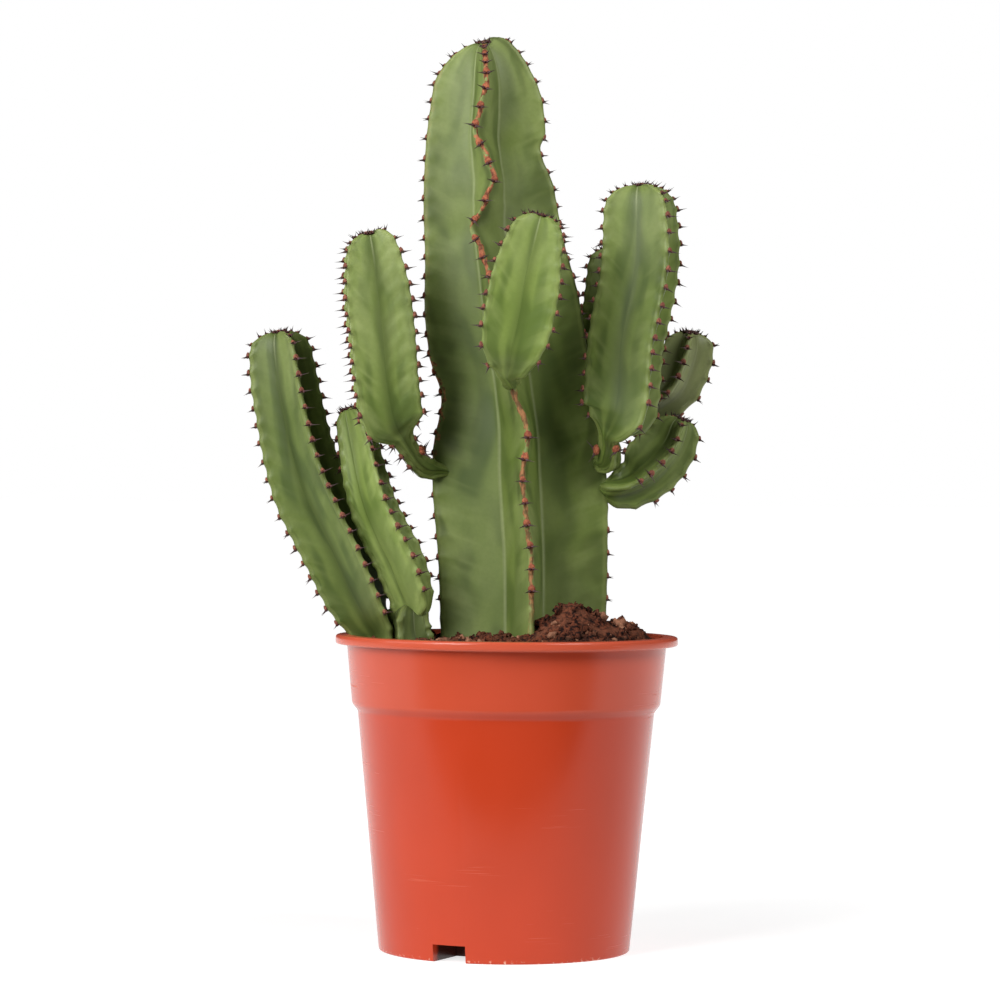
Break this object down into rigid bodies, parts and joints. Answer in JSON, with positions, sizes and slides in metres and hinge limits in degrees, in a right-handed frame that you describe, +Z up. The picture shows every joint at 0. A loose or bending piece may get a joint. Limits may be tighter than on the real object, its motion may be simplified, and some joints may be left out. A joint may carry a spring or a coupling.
{
  "type": "potted euphorbia",
  "caption": "Potted candelabra euphorbia with ribbed, spiny upright stems rising from a tall trunk, in a soil-filled plastic nursery pot.",
  "frame": {"origin": "centre of the underside of the pot, on the surface it stands on", "axes": "+Z up along the trunk, -Y towards the front of the plant as pictured, +X to its right"},
  "size_m": [0.294, 0.21, 0.5599],
  "materials": {
    "pot": "gloss",
    "soil": "matte",
    "trunk": "satin",
    "young_stem": "satin"
  },
  "bodies": {
    "root": {"pot": "pot", "soil": "soil", "trunk": "trunk", "branch_front": "young_stem", "branch_upper_left": "young_stem", "branch_outer_left": "young_stem", "branch_inner_left": "young_stem", "branch_right": "young_stem", "horn_right": "young_stem", "branch_right_back": "young_stem", "branch_back": "young_stem"}
  },
  "joints": []
}
